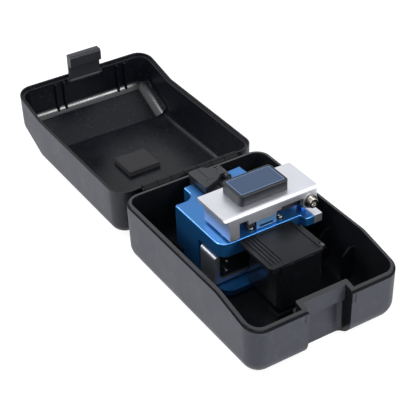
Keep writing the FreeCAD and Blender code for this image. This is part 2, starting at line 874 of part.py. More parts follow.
def guide_bearing():
    half = rail_width / 2 + rail_fit
    body = box(bearing_x, bearing_y, bearing_z)
    channel = box((rail_centre_x - half, rail_centre_x + half), (-far, far), (0, rail_z[1] + rail_fit))
    return body.cut(channel)


def slide_carriage():
    knob = box(knob_x, knob_y, knob_z)
    knob = knob.makeFillet(knob_edge_round, edges_at(knob, 1, knob_y[0]))
    inside_knob = knob_y[1] - overlap
    side_plan = [(inside_knob, knob_z[0], 0),
                 (side_bar_end, knob_z[0], side_end_round),
                 (side_bar_end, side_bar_top, side_end_round),
                 (knob_y[1], side_bar_top, side_corner_round),
                 (knob_y[1], knob_z[1], 0),
                 (inside_knob, knob_z[1], 0)]
    side = prism(side_plan, "x", side_bar_x)
    block = box(block_slide_x, (inside_knob, block_slide_y[1]), block_slide_z)
    tie = box((block_slide_x[1] - overlap, side_bar_x[0] + overlap), (inside_knob, knob_y[1] + tie_depth),
              (side_bar_top, block_slide_z[1]))
    foot_y = (bearing_y[1] + moving_gap, side_bar_end - side_end_round)
    bar_inside = side_bar_x[0] + overlap
    tie_z = (knob_z[0], block_slide_z[0] + overlap)
    web_foot_z = (block_slide_z[0], block_slide_z[0] + web_foot_height)
    foot_tie = box((bearing_x[1] + moving_gap, bar_inside), foot_y, tie_z)
    web_foot = box((web_x[0], bar_inside), foot_y, web_foot_z)
    web_top = blade_z + web_round
    arc = web_round - edge_break
    web_plan = [(block_slide_y[1] - overlap, block_slide_z[0], 0),
                (web_end, block_slide_z[0], small_round),
                (web_end, web_top, arc),
                (blade_y - web_round, web_top, arc),
                (blade_y - web_round, block_slide_z[1], small_round),
                (block_slide_y[1] - overlap, block_slide_z[1], 0)]
    web = prism(web_plan, "x", web_x)
    hub = rod_x(hub_radius, (web_x[1] - overlap, hub_end), blade_y, blade_z)
    carriage = join([knob, side, block, tie, web, web_foot, foot_tie, hub])
    tools = [rod_x(small_shank_radius + pin_fit, (web_x[0], far), blade_y, blade_z)]
    for y, z in cover_screw_places:
        tools.append(screw_hole(Vector(cover_x[1], y, z), Vector(1, 0, 0)))
    return carriage.cut(Part.makeCompound(tools))


def blade_cover():
    plan = [(cover_y[0], cover_z[0], cover_low_round),
            (cover_y[1], cover_z[0], small_round),
            (cover_y[1], cover_z[1], small_round),
            (cover_y[0], cover_z[1], small_round)]
    cover = prism(plan, "x", cover_x)
    tie_room = box((0, side_bar_x[0] + overlap), (-far, knob_y[1] + tie_depth + pin_fit),
                   (0, block_slide_z[1] + pin_fit))
    cover = cover.cut(tie_room)
    tools = [screw_hole(Vector(cover_x[1], y, z), Vector(1, 0, 0)) for y, z in cover_screw_places]
    return cover.cut(Part.makeCompound(tools))


def cover_screws():
    screws = [small_screw(Vector(cover_x[1], y, z), Vector(1, 0, 0)) for y, z in cover_screw_places]
    return Part.makeCompound(screws)


def blade_wheel():
    bore = hub_radius + hub_bore_fit
    flat = blade_radius - blade_bevel
    profile = Part.makePolygon([Vector(-blade_half, bore, 0), Vector(blade_half, bore, 0),
                                Vector(blade_half, flat, 0), Vector(blade_edge_half, blade_radius, 0),
                                Vector(-blade_edge_half, blade_radius, 0), Vector(-blade_half, flat, 0),
                                Vector(-blade_half, bore, 0)])
    blade = Part.Face(profile).revolve(Vector(0, 0, 0), Vector(1, 0, 0), 360)
    blade.translate(Vector(0, blade_y, blade_z))
    return blade


def blade_screw():
    screw = cap_screw(blade_screw_radius, blade_screw_height, small_shank_radius, small_shank_length)
    turn = FreeCAD.Rotation(Vector(0, 0, 1), Vector(1, 0, 0))
    screw.Placement = FreeCAD.Placement(Vector(hub_end, blade_y, blade_z), turn)
    return screw


# Clamp lid

def clamp_lid():
    section = [(lid_x[0], lid_z[0], 0), (lid_x[1], lid_z[0], 0), (lid_x[1], lid_z[1], lid_front_round),
               (lid_x[0], lid_z[1], edge_break)]
    plate = rounded_plate(lid_x, lid_y, lid_z, lid_corner_round).common(prism(section, "y", (-far, far)))
    parts = [plate]
    ear_top = lid_z[0] + overlap
    ear_plan = [(ear_y[0], ear_top, 0), (ear_y[0], ear_low, ear_round), (ear_y[1], ear_low, ear_round),
                (ear_y[1], ear_top, 0)]
    for x in ((lid_x[0], lid_x[0] + ear_width), (lid_x[1] - ear_width, lid_x[1])):
        parts.append(prism(ear_plan, "x", x))
    parts.append(box(leg_x, leg_y, (leg_low, ear_top)))
    lid = join(parts)
    tools = [rod_x(pivot_radius + pin_fit, (-far, far), pivot_y, pivot_z),
             rod_z(magnet_radius + pin_fit, magnet_x, magnet_y, (0, leg_low + magnet_depth))]
    return lid.cut(Part.makeCompound(tools))


def lid_magnet():
    return rod_z(magnet_radius, magnet_x, magnet_y, (leg_low - clamp_gap, leg_low + magnet_depth))


def pivot_shaft():
    return rod_x(pivot_radius, (lid_x[0], lid_x[1]), pivot_y, pivot_z)


def pivot_screws():
    """Make the washer and cap screw that close each end of the pivot."""
    solids = []
    for side in (-1, 1):
        washer_x = sorted((side * lid_x[1], side * (lid_x[1] + washer_thickness)))
        solids.append(rod_x(washer_radius, washer_x, pivot_y, pivot_z))
        head = Part.makeCylinder(pivot_head_radius, pivot_head_height)
        socket = Part.makeCylinder(pivot_head_radius * socket_share, pivot_head_height)
        socket.translate(Vector(0, 0, pivot_head_height / 2))
        head = head.cut(socket)
        turn = FreeCAD.Rotation(Vector(0, 0, 1), Vector(side, 0, 0))
        head_place = Vector(side * (lid_x[1] + washer_thickness), pivot_y, pivot_z)
        head.Placement = FreeCAD.Placement(head_place, turn)
        solids.append(head)
    left = join(solids[:2])
    right = join(solids[2:])
    return Part.makeCompound([left, right])


def press_pad():
    pad = rounded_plate(pad_x, pad_y, pad_z, pad_corner_round)
    pad = pad.makeFillet(knob_edge_round, edges_at(pad, 2, pad_z[1]))
    recess = rounded_plate((pad_x[0] + label_margin, pad_x[1] - label_margin),
                           (pad_y[0] + label_margin, pad_y[1] - label_margin),
                           (pad_z[1] - label_inset, far), pad_corner_round - label_margin)
    return pad.cut(recess)


def pad_label():
    x = (pad_x[0] + label_margin + pin_fit, pad_x[1] - label_margin - pin_fit)
    y = (pad_y[0] + label_margin + pin_fit, pad_y[1] - label_margin - pin_fit)
    z = (pad_z[1] - label_inset, pad_z[1] - pin_fit)
    return rounded_plate(x, y, z, pad_corner_round - label_margin)


def upper_clamp_plate():
    plan = [(upper_plate_y[0], upper_plate_z[0], small_round),
            (upper_step[0], upper_plate_z[0], small_round),
            (upper_step[0] + upper_step_lean, upper_step[1], 0),
            (upper_plate_y[1], upper_step[1], small_round),
            (upper_plate_y[1], upper_plate_z[1], 0),
            (upper_plate_y[0], upper_plate_z[1], 0)]
    return prism(plan, "x", upper_plate_x)


def upper_clamp(x):
    inner_x = (x[0] + upper_clamp_inset, x[1] - upper_clamp_inset)
    return box(inner_x, upper_clamp_y, (fibre_z + clamp_gap + upper_pad_thickness, upper_plate_z[0]))


def upper_clamp_pads():
    pads = []
    for x in (clamp_left_x, clamp_right_x):
        z = (fibre_z + clamp_gap, fibre_z + clamp_gap + upper_pad_thickness)
        inner_x = (x[0] + upper_clamp_inset + upper_pad_inset, x[1] - upper_clamp_inset - upper_pad_inset)
        inner_y = (upper_clamp_y[0] + upper_pad_inset, upper_clamp_y[1] - upper_pad_inset)
        pads.append(box(inner_x, inner_y, z))
    return Part.makeCompound(pads)


def anvil():
    plan = [(anvil_x[0], upper_plate_z[0], 0), (anvil_x[0], anvil_low, 1.0), (anvil_x[1], anvil_low, 1.0),
            (anvil_x[1], upper_plate_z[0], 0)]
    return prism(plan, "y", anvil_y)


def lid_bumper():
    return box(bumper_x, bumper_y, (bumper_low, lid_z[0]))


# Scrap bin

def collector_bin():
    outer = rounded_plate(bin_x, bin_y, bin_z, bin_corner_round)
    outer = outer.makeFillet(bin_edge_round, edges_at(outer, 2, bin_z[0]))
    inner_x = (bin_x[0] + bin_wall, bin_x[1] - bin_wall)
    inner_y = (bin_y[0] + bin_wall, bin_y[1] - bin_wall)
    inner = rounded_plate(inner_x, inner_y, (bin_z[0] + bin_wall, far), bin_corner_round - bin_wall)
    parts = [outer.cut(inner)]
    for span in bin_ear_spans:
        parts.append(rod_x(bin_barrel_radius, span, bin_axis_y, bin_axis_z))
        inside_wall = bin_y[1] - bin_wall / 2
        plan = [(inside_wall, bin_z[1], 0), (inside_wall, bin_z[1] - bin_ear_drop, 0),
                (bin_axis_y + bin_barrel_radius, bin_axis_z - bin_wall / 2, 0), (bin_axis_y, bin_axis_z, 0)]
        parts.append(prism(plan, "x", span))
    tools = [rod_x(bin_pin_radius + pin_fit, (-far, far), bin_axis_y, bin_axis_z)]
    tools += [screw_hole(place, direction) for place, direction in body_screw_places()[2:4]]
    return join(parts).cut(Part.makeCompound(tools))


def collector_lid():
    far_edge = bin_axis_y - bin_barrel_radius - moving_gap
    plate = rounded_plate(bin_lid_x, (bin_lid_near, far_edge), bin_lid_z, bin_lid_corner_round)
    barrel_x = (bin_ear_spans[0][1] + moving_gap, bin_ear_spans[1][0] - moving_gap)
    barrel = rod_x(bin_barrel_radius, barrel_x, bin_axis_y, bin_axis_z)
    neck = box(barrel_x, (far_edge - overlap, bin_axis_y), bin_lid_z)
    tab_x = (bin_lid_x[1] - bin_tab_thickness, bin_lid_x[1])
    tab = box(tab_x, bin_tab_y, (bin_tab_low, bin_lid_z[1] - panel_depth))
    lid = join([plate, neck, barrel, tab])
    panel_x = (bin_lid_x[0] + panel_margin, bin_lid_x[1] - panel_margin)
    tools = [rounded_plate(panel_x, panel_y, (bin_lid_z[1] - panel_depth, far), small_round),
             rod_x(bin_pin_radius + pin_fit, (-far, far), bin_axis_y, bin_axis_z)]
    for index in range(ridge_count):
        y = panel_y[0] - (index + 1) * ridge_pitch
        groove_z = (bin_lid_z[1] - panel_depth, far)
        tools.append(box((-far, bin_lid_x[1] - ridge_margin), (y - ridge_groove, y), groove_z))
    return lid.cut(Part.makeCompound(tools))


def collector_pin():
    return rod_x(bin_pin_radius, (bin_ear_spans[0][0], bin_ear_spans[1][1]), bin_axis_y, bin_axis_z)


case_pieces = {
    "case_tray": case_tray,
    "case_lid": case_lid,
    "case_hinge_pin": case_hinge_pin,
    "case_latch": case_latch,
    "case_latch_pin": case_latch_pin,
    "lid_foam_pad": lid_foam_pad,
}

cleaver_pieces = {
    "body_frame": body_frame,
    "base_feet": base_feet,
    "hinge_block": hinge_block,
    "hinge_block_screws": lambda: screw_group(2, 0),
    "collector_screws": lambda: screw_group(2, 2),
    "rail_screws": lambda: screw_group(3, 4),
    "holder_screws": lambda: screw_group(2, 7),
    "lower_clamp_left": lambda: lower_clamp(clamp_left_x),
    "lower_clamp_right": lambda: lower_clamp(clamp_right_x),
    "lower_clamp_pads": lower_clamp_pads,
    "body_magnet": body_magnet,
    "holder_plate": holder_plate,
    "holder_flap": holder_flap,
    "holder_flap_pads": holder_flap_pads,
    "holder_flap_pin": holder_flap_pin,
    "guide_rail": guide_rail,
    "guide_bearing": guide_bearing,
    "slide_carriage": slide_carriage,
    "blade_cover": blade_cover,
    "cover_screws": cover_screws,
    "blade_wheel": blade_wheel,
    "blade_screw": blade_screw,
    "clamp_lid": clamp_lid,
    "lid_magnet": lid_magnet,
    "pivot_shaft": pivot_shaft,
    "pivot_screws": pivot_screws,
    "press_pad": press_pad,
    "pad_label": pad_label,
    "upper_clamp_plate": upper_clamp_plate,
    "upper_clamp_left": lambda: upper_clamp(clamp_left_x),
    "upper_clamp_right": lambda: upper_clamp(clamp_right_x),
    "upper_clamp_pads": upper_clamp_pads,
    "anvil": anvil,
    "lid_bumper": lid_bumper,
    "collector_bin": collector_bin,
    "collector_lid": collector_lid,
    "collector_pin": collector_pin,
}

for name, make in case_pieces.items():
    make().exportStep("parts/" + name + ".step")

for name, make in cleaver_pieces.items():
    seated(make()).exportStep("parts/" + name + ".step")
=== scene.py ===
"""Fibre cleaver in its carrying case: the looks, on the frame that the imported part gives.

Sizes and places are in millimetres, but those of the camera, the lamps, the floor and the mesh
clean-up are in metres. The case's places are the scene's own, and the cleaver's are given from its
seat in the case.
"""
import json
import math

import bmesh
import bpy
from mathutils import Matrix, Vector, noise


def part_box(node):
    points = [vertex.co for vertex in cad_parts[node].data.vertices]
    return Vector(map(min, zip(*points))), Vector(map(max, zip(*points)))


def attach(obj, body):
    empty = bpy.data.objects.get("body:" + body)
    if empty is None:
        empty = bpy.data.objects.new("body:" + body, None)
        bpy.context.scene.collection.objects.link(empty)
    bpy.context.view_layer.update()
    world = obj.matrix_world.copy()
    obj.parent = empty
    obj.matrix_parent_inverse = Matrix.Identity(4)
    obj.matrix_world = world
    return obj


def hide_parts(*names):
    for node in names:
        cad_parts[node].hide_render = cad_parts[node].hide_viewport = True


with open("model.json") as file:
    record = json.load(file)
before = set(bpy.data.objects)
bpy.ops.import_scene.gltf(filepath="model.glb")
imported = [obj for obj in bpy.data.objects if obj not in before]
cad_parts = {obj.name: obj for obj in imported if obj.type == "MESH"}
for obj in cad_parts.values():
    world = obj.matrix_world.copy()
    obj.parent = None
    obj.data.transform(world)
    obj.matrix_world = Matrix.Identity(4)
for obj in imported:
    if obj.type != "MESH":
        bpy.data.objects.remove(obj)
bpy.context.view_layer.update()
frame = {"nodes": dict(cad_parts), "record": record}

mm = 0.001

# Where the cleaver's own origin sits in the case
seat = Vector((-11.25, 6.0, 0.0))

# Camera, from the photo's straight edges
camera_azimuth = math.radians(58.52)
camera_elevation = math.radians(35.26)
camera_roll = math.radians(-1.73)
camera_distance = 0.75285
camera_target = Vector((-0.06005, 0.0048, 0.0175))
camera_lens = 106.85
camera_sensor = 36.0
camera_clip = (0.01, 20)

# Each lamp's name, place, size and power in watts
lamps = (
    ("left", (-0.22, -0.75, 0.62), 0.28, 3.1),
    ("behind", (-0.78, -0.42, 0.60), 0.30, 1.3),
    ("right", (0.63, 0.40, 0.50), 0.24, 3.2),
    ("top", (0.22, -0.42, 0.90), 0.45, 2.2),
)
lamp_target = (-0.07, 0, 0.03)
world_strength = 0.5
pure_white = (1, 1, 1, 1)

# The floor, and how white it looks beyond its own light
floor_reach = 3.0
floor_drop = 0.0002
floor_grey = 0.32
floor_roughness = 0.9
floor_lift = 0.84

# The case's rim, hinge and latch recess
case_front = 68.75
rim_height = 39.4
rim_drop = 7.5
rim_kink = 33.95
hinge_x = -71.35
knuckle_reach = 3.3
recess_y = (-13.4, 15.0)
recess_depth = 10.2

# The small tab and ribs beside the recess: the two sides, the foot and the top of each
tab_x = (67.2, 68.9)
tab_places = (
    (-15.8, -13.9, 26.6, 31.0),
    (15.1, 15.9, 25.6, 31.4),
    (17.3, 18.1, 25.4, 31.4),
)
tab_round = 0.3

# Inside the open lid
lid_floor = 10.7
lid_inner_side = 46.0
lid_end_wall = -208.3
lid_slope = math.radians(25.7)
slope_foot_x = -180.7
slope_foot_z = 10.4
lid_rib_depth = 2.0
lid_rib_width = 1.6
lid_rib_y = (-22.5, -16.5, 24.0, 30.0)
lid_rib_z = (22.8, 30.5)
lid_rib_round = 0.3

# The hollow rounds at the foot of the lid's end wall and beside its slope
cove_radius = 7.0
cove_steps = 10
cove_sink = 0.4
cove_overrun = 0.6
cove_start = 0.8

# The moulding marks in the lid: on the slope, places are the way up it and the way across
mark_lift = 0.05
mark_width = 0.3
slope_plate_up = (22.3, 2.0)
slope_plate_y = (-13.4, 12.4)
slope_ring_up = 20.0
slope_ring_y = 35.0
slope_ring_radius = 3.2
slope_ring_sides = 32
pad_frame_x = (-152.0, -120.5)
pad_frame_y = (-18.6, 15.0)
pad_frame_width = 0.35

# The foam block: its crowned top edge, its drawn-in sides and its cut surface. The last two are
# the shares of its half sizes past which a place is on its top or its foot, or on its sides.
foam_cuts = 23
foam_crown_width = 0.9
foam_crown_drop = 0.55
foam_waist = 0.25
foam_rough_per_mm = 0.9
foam_rough_depth = 0.12
foam_face = 0.9
foam_side = 0.99

# The cleaver's deck: its CAD fillet, the band below and above the deck's top that holds it, how
# much the shown round grows, and where that fades out
deck_top = 39.5
deck_fillet = 0.6
deck_fillet_band = (0.63, 0.06)
deck_edge_factor = 2.4
deck_edge_end = 26.0
deck_edge_fade = 4.0
deck_edge_depth = 1.2
bin_side_y = (-18.0, -4.0)
base_side_top = 7.9

# The knob of the slide: its CAD fillet and how many times as broad the bend is
knob_top = 28.5
knob_fillet = 0.8
knob_bend = 3.0
knob_slack = 0.01

# The clamp lid's thin near lip
lip_start = -26.1
lip_under = 52.0
lip_rise = 3.6
lip_margin = 0.1

# The pivot screw's head, in front of its washer
pivot_y = 28.8
pivot_z = 47.2
pivot_head_radius = 3.05

# The light frame on the clamp's side, its window, and the dark blocks behind it, which are painted shade
window_x = (10.6, 11.4)
window_y = (-6.4, 7.2)
window_z = (39.9, 45.7)
window_open_y = (-4.2, 4.9)
window_open_z = (40.4, 42.0)
window_post_round = 0.15
window_bar_round = 0.1
dark_left_x = (2.0, 10.6)
dark_left_y = (-12.2, -7.0)
dark_left_z = (42.2, 45.6)
dark_right_x = (0.0, 9.1)
dark_right_y = (10.8, 25.0)
dark_right_z = (43.5, 47.5)
dark_round = 0.3

# The two screws on the deck, with radius and height pairs for what is turned
deck_screw_x = 8.7
deck_screw_y = {"near": -8.6, "far": 11.3}
deck_screw_lift = 0.09
deck_screw_head = ((1.5, 0.0), (1.65, 0.2), (1.65, 1.0), (1.4, 1.3), (0.85, 1.3), (0.75, 0.6))
counterbore_lift = 0.03
counterbore_rim = ((2.3, 0.0), (2.2, 0.05))
turned_sides = 40

# The printed line round the pad's label
label_line_inset = 0.3
label_line_lift = 0.03
label_line_radius = 0.9
label_line_width = 0.28
label_line_steps = 6

# Which faces are which: parts of a unit normal, margins about the places above, and how far a
# probe steps off a face and out of the hull
facing_up = 0.7
facing_end = 0.9
facing_bin = 0.15
facing_level = 0.5
facing_recess = 0.4
deck_round_normal = (0.1, 0.97)
lid_fillet_normal = (0.06, 0.88)
lid_fillet_depth = 12.0
lid_fillet_reach = 8.0
recess_margin = 0.2
tongue_margin = 0.35
ledge_margin = 0.3
hull_reach = 0.6
hull_reach_under = 1.8
hull_gap = 0.2

# Mesh clean-up and rounding
least_hull_face = 0.000002
weld = 0.00002
flat_angle = math.radians(0.6)
sharp_angle = math.radians(32)
edge_segments = 2

bodies = {}
for body, members in frame["record"]["behaviour"]["bodies"].items():
    for member in members:
        bodies[member] = body


# Colours and shader nodes

def srgb(red, green, blue):
    """Turn a colour as a screen shows it (0 to 255) into Blender's linear colour."""
    channels = []
    for value in (red, green, blue):
        share = value / 255
        channels.append(share / 12.92 if share <= 0.04045 else ((share + 0.055) / 1.055) ** 2.4)
    return (*channels, 1.0)


def shade(colour, factor):
    """Lighten or darken a colour."""
    return (colour[0] * factor, colour[1] * factor, colour[2] * factor, 1.0)


class Nodes:
    """A new material, with helpers that add and link its shader nodes."""

    def __init__(self, name):
        self.material = bpy.data.materials.new(name)
        self.material.use_nodes = True
        self.tree = self.material.node_tree
        self.shader = self.tree.nodes["Principled BSDF"]
        self.coords = self.tree.nodes.new("ShaderNodeTexCoord").outputs["Object"]

    def link(self, output, node_input):
        self.tree.links.new(output, node_input)

    def give(self, node_input, value):
        """Link an output to a socket, or set the socket to a value that is the same all over."""
        if hasattr(value, "is_output"):
            self.link(value, node_input)
        else:
            node_input.default_value = value

    def noise(self, size_mm, detail, scale=(1, 1, 1)):
        """Make noise whose blobs are about size_mm across, with the coordinates scaled on each axis."""
        mapping = self.tree.nodes.new("ShaderNodeMapping")
        mapping.inputs["Scale"].default_value = scale
        self.link(self.coords, mapping.inputs["Vector"])
        texture = self.tree.nodes.new("ShaderNodeTexNoise")
        texture.inputs["Scale"].default_value = 1 / (size_mm * mm)
        texture.inputs["Detail"].default_value = detail
        self.link(mapping.outputs["Vector"], texture.inputs["Vector"])
        return texture.outputs["Fac"]

    def cells(self, size_mm):
        """Make closed cells about size_mm across."""
        texture = self.tree.nodes.new("ShaderNodeTexVoronoi")
        texture.inputs["Scale"].default_value = 1 / (size_mm * mm)
        self.link(self.coords, texture.inputs["Vector"])
        return texture.outputs["Distance"]

    def along_x(self):
        """Give the place along x, in metres."""
        parts = self.tree.nodes.new("ShaderNodeSeparateXYZ")
        self.link(self.coords, parts.inputs["Vector"])
        return parts.outputs["X"]

    def between(self, factor, low, high, low_at=0.3, high_at=0.7):
        """Map a factor that runs from low_at to high_at onto the range from low to high."""
        ramp = self.tree.nodes.new("ShaderNodeMapRange")
        ramp.inputs["From Min"].default_value = low_at
        ramp.inputs["From Max"].default_value = high_at
        ramp.inputs["To Min"].default_value = low
        ramp.inputs["To Max"].default_value = high
        self.link(factor, ramp.inputs["Value"])
        return ramp.outputs["Result"]

    def mixed(self, factor, first, second):
        """Mix two colours by a factor. The node tells its colour sockets apart by number only."""
        mix = self.tree.nodes.new("ShaderNodeMix")
        mix.data_type = "RGBA"
        self.link(factor, mix.inputs["Factor"])
        self.give(mix.inputs[6], first)
        self.give(mix.inputs[7], second)
        return mix.outputs[2]

    def mottled(self, factor, colour, darkest, lightest):
        """Let a colour run between a darker and a lighter shade of itself."""
        return self.mixed(self.between(factor, 0, 1), shade(colour, darkest), shade(colour, lightest))

    def flecked(self, base, factor, fleck, strength, start, end):
        """Lay flecks of a colour over a base where a factor passes from start to end."""
        return self.mixed(self.between(factor, 0, strength, start, end), base, fleck)

    def uneven(self, factor, roughness, less, more):
        """Let a roughness run from a little less to a little more."""
        return self.between(factor, roughness - less, roughness + more)

    def bump(self, height, depth_mm, normal=None):
        """Raise the surface by a height, over a normal that is already bumped where one is given."""
        bump = self.tree.nodes.new("ShaderNodeBump")
        bump.inputs["Distance"].default_value = depth_mm * mm
        bump.inputs["Strength"].default_value = 1.0
        self.link(height, bump.inputs["Height"])
        if normal is not None:
            self.link(normal, bump.inputs["Normal"])
        return bump.outputs["Normal"]

    def finish(self, sockets):
        """Give the shader its sockets, and return the material."""
        for name, value in sockets.items():
            self.give(self.shader.inputs[name], value)
        return self.material


# Finishes

def moulded(name, colour, roughness, specular, grain_depth=0.012, scuffs=0.0, dust=0.0, shade_x=None):
    """Moulded plastic: fine spark-eroded grain, faint flow marks and handling sheen.

    scuffs and dust say how strongly those show. Between the two places of shade_x the colour
    falls off to dark, as painted shade.
    """
    nodes = Nodes(name)
    cloud = nodes.noise(size_mm=14.0, detail=3.0)
    grain = nodes.noise(size_mm=0.35, detail=2.0)
    base = nodes.mottled(cloud, colour, darkest=0.93, lightest=1.07)
    base = nodes.flecked(base, grain, shade(colour, 1.25), strength=0.35, start=0.45, end=0.75)
    if scuffs:
        smear = nodes.noise(size_mm=4.0, detail=7.0, scale=(1.0, 1.0, 0.75))
        base = nodes.flecked(base, smear, shade(colour, 1.7), scuffs, start=0.52, end=0.72)
    if dust:
        specks = nodes.noise(size_mm=1.3, detail=1.0)
        base = nodes.flecked(base, specks, shade(colour, 9.0), dust, start=0.70, end=0.74)
    if shade_x:
        start, end = (place * mm for place in shade_x)
        dark = shade(colour, 0.12)
        base = nodes.flecked(base, nodes.along_x(), dark, strength=0.8, start=start, end=end)
    return nodes.finish({
        "Base Color": base,
        "Roughness": nodes.uneven(cloud, roughness, less=0.05, more=0.06),
        "Normal": nodes.bump(grain, grain_depth),
        "Specular IOR Level": specular,
    })


def anodised(name, colour, roughness, metallic, blast_mm=0.16, blast_depth=0.006, coat=0.0):
    """Bead-blasted, anodised aluminium with a very fine sparkle."""
    nodes = Nodes(name)
    blast = nodes.noise(blast_mm, detail=2.0)
    cloud = nodes.noise(size_mm=18.0, detail=2.0)
    base = nodes.mottled(cloud, colour, darkest=0.95, lightest=1.05)
    base = nodes.flecked(base, blast, shade(colour, 1.18), strength=0.3, start=0.4, end=0.8)
    return nodes.finish({
        "Base Color": base,
        "Roughness": nodes.uneven(blast, roughness, less=0.04, more=0.06),
        "Normal": nodes.bump(blast, blast_depth),
        "Metallic": metallic,
        "Coat Weight": coat,
        "Coat Roughness": 0.25,
    })


def brushed(name, colour, roughness, metallic, line_scale):
    """Brushed metal, with its lines along the axis that line_scale scales least."""
    nodes = Nodes(name)
    lines = nodes.noise(size_mm=1.0, detail=6.0, scale=line_scale)
    return nodes.finish({
        "Base Color": nodes.mottled(lines, colour, darkest=0.82, lightest=1.1),
        "Roughness": nodes.uneven(lines, roughness, less=0.08, more=0.1),
        "Normal": nodes.bump(lines, depth_mm=0.004),
        "Metallic": metallic,
    })


def turned(name, colour, roughness):
    """Machined steel with faint tool marks and a little grime."""
    nodes = Nodes(name)
    grime = nodes.noise(size_mm=2.2, detail=3.0)
    marks = nodes.noise(size_mm=0.12, detail=2.0)
    return nodes.finish({
        "Base Color": nodes.mottled(grime, colour, darkest=0.85, lightest=1.0),
        "Roughness": nodes.uneven(grime, roughness, less=0.0, more=0.12),
        "Normal": nodes.bump(marks, depth_mm=0.002),
        "Metallic": 1.0,
    })


def soft_rubber(name, colour):
    """Soft rubber with open pores."""
    nodes = Nodes(name)
    pores = nodes.noise(size_mm=0.3, detail=3.0)
    return nodes.finish({
        "Base Color": nodes.mottled(pores, colour, darkest=0.8, lightest=1.3),
        "Roughness": 0.75,
        "Normal": nodes.bump(pores, depth_mm=0.03),
    })


def foam(name, colour):
    """Closed-cell foam, from cells with finer pores in them."""
    nodes = Nodes(name)
    cells = nodes.cells(size_mm=0.55)
    pores = nodes.noise(size_mm=0.25, detail=3.0)
    normal = nodes.bump(cells, depth_mm=0.05)
    from_middle = nodes.between(cells, 0, 1, low_at=0.1, high_at=0.6)
    return nodes.finish({
        "Base Color": nodes.mixed(from_middle, shade(colour, 0.7), shade(colour, 1.2)),
        "Roughness": 0.92,
        "Normal": nodes.bump(pores, depth_mm=0.02, normal=normal),
    })


def film(name, colour):
    """Printed satin film, with a faint unevenness."""
    nodes = Nodes(name)
    cloud = nodes.noise(size_mm=6.0, detail=3.0)
    speck = nodes.noise(size_mm=0.2, detail=2.0)
    return nodes.finish({
        "Base Color": nodes.mottled(cloud, colour, darkest=0.94, lightest=1.06),
        "Roughness": nodes.between(speck, low=0.34, high=0.46),
        "Normal": nodes.bump(speck, depth_mm=0.004),
        "Coat Weight": 0.25,
    })


# Materials, each with its colour, its roughness and its share of shine or of metal

# One plastic in copies that paint light and shade: a lighter outside, and darker inside, ledge and tongue
case_colour = srgb(71, 73, 82)
case_outside = moulded("case_outside", case_colour, 0.48, 0.3, scuffs=0.4)
# The lid's outside darkens towards its hinge end, in the tray's shade: painted shade
case_shaded = moulded("case_shaded", case_colour, 0.48, 0.3, scuffs=0.4, shade_x=(-92, -76))
case_tongue = moulded("case_tongue", srgb(27, 28, 32), 0.3, 0.6)
case_ledge = moulded("case_ledge", srgb(22, 23, 26), 0.5, 0.12)
case_inside = moulded("case_inside", srgb(20, 22, 25), 0.27, 0.18)
lid_inside = moulded("lid_inside", srgb(16, 18, 24), 0.29, 0.22, scuffs=0.35, dust=0.8)
lid_fillet = moulded("lid_fillet", srgb(18, 20, 28), 0.25, 0.8)
mark_grey = moulded("mark_grey", srgb(40, 42, 46), 0.4, 0.3)
latch_plastic = moulded("latch_plastic", srgb(44, 46, 51), 0.4, 0.3)
black_plastic = moulded("black_plastic", srgb(24, 25, 28), 0.4, 0.25)
bin_plastic = moulded("bin_plastic", srgb(18, 20, 23), 0.1, 1.0, grain_depth=0.001)
bin_top = moulded("bin_top", srgb(20, 22, 27), 0.42, 0.2)
pad_plastic = moulded("pad_plastic", srgb(31, 34, 40), 0.38, 0.3)
blue_metal = anodised("blue_metal", srgb(45, 119, 190), 0.33, 0.72, coat=0.35)
# A lighter, glossier blue for the deck's near round: a painted highlight
blue_round_highlight = anodised("blue_round_highlight", srgb(84, 158, 226), 0.24, 0.6, coat=0.9)
# A dark blue for the deck's edge beside the bin and the base's side: painted shade
blue_edge_shade = anodised("blue_edge_shade", srgb(14, 40, 82), 0.5, 0.3)
# A light blue, lightened further as painted light on the clamp's frame, which the lid's plate shades
clamp_blue = anodised("clamp_blue", srgb(112, 162, 210), 0.35, 0.35, coat=0.4)
silver_metal = anodised("silver_metal", srgb(217, 219, 227), 0.39, 0.95, blast_mm=0.5, blast_depth=0.02)
black_metal = anodised("black_metal", srgb(44, 46, 51), 0.45, 0.3)
holder_metal = anodised("holder_metal", srgb(42, 44, 50), 0.42, 0.3)
knob_metal = brushed("knob_metal", srgb(172, 178, 190), 0.36, 0.87, line_scale=(3.0, 3.0, 0.2))
# Darker steel, which on the pivot's washers paints the shade round the screw heads
washer_steel = turned("washer_steel", srgb(84, 80, 78), 0.3)
steel = turned("steel", srgb(176, 178, 184), 0.28)
bright_steel = turned("bright_steel", srgb(186, 182, 176), 0.16)
label_film = film("label_film", srgb(24, 56, 92))
label_edge = film("label_edge", srgb(120, 150, 196))
dark_rubber = soft_rubber("dark_rubber", srgb(30, 31, 34))
foam_grey = foam("foam_grey", srgb(42, 41, 45))

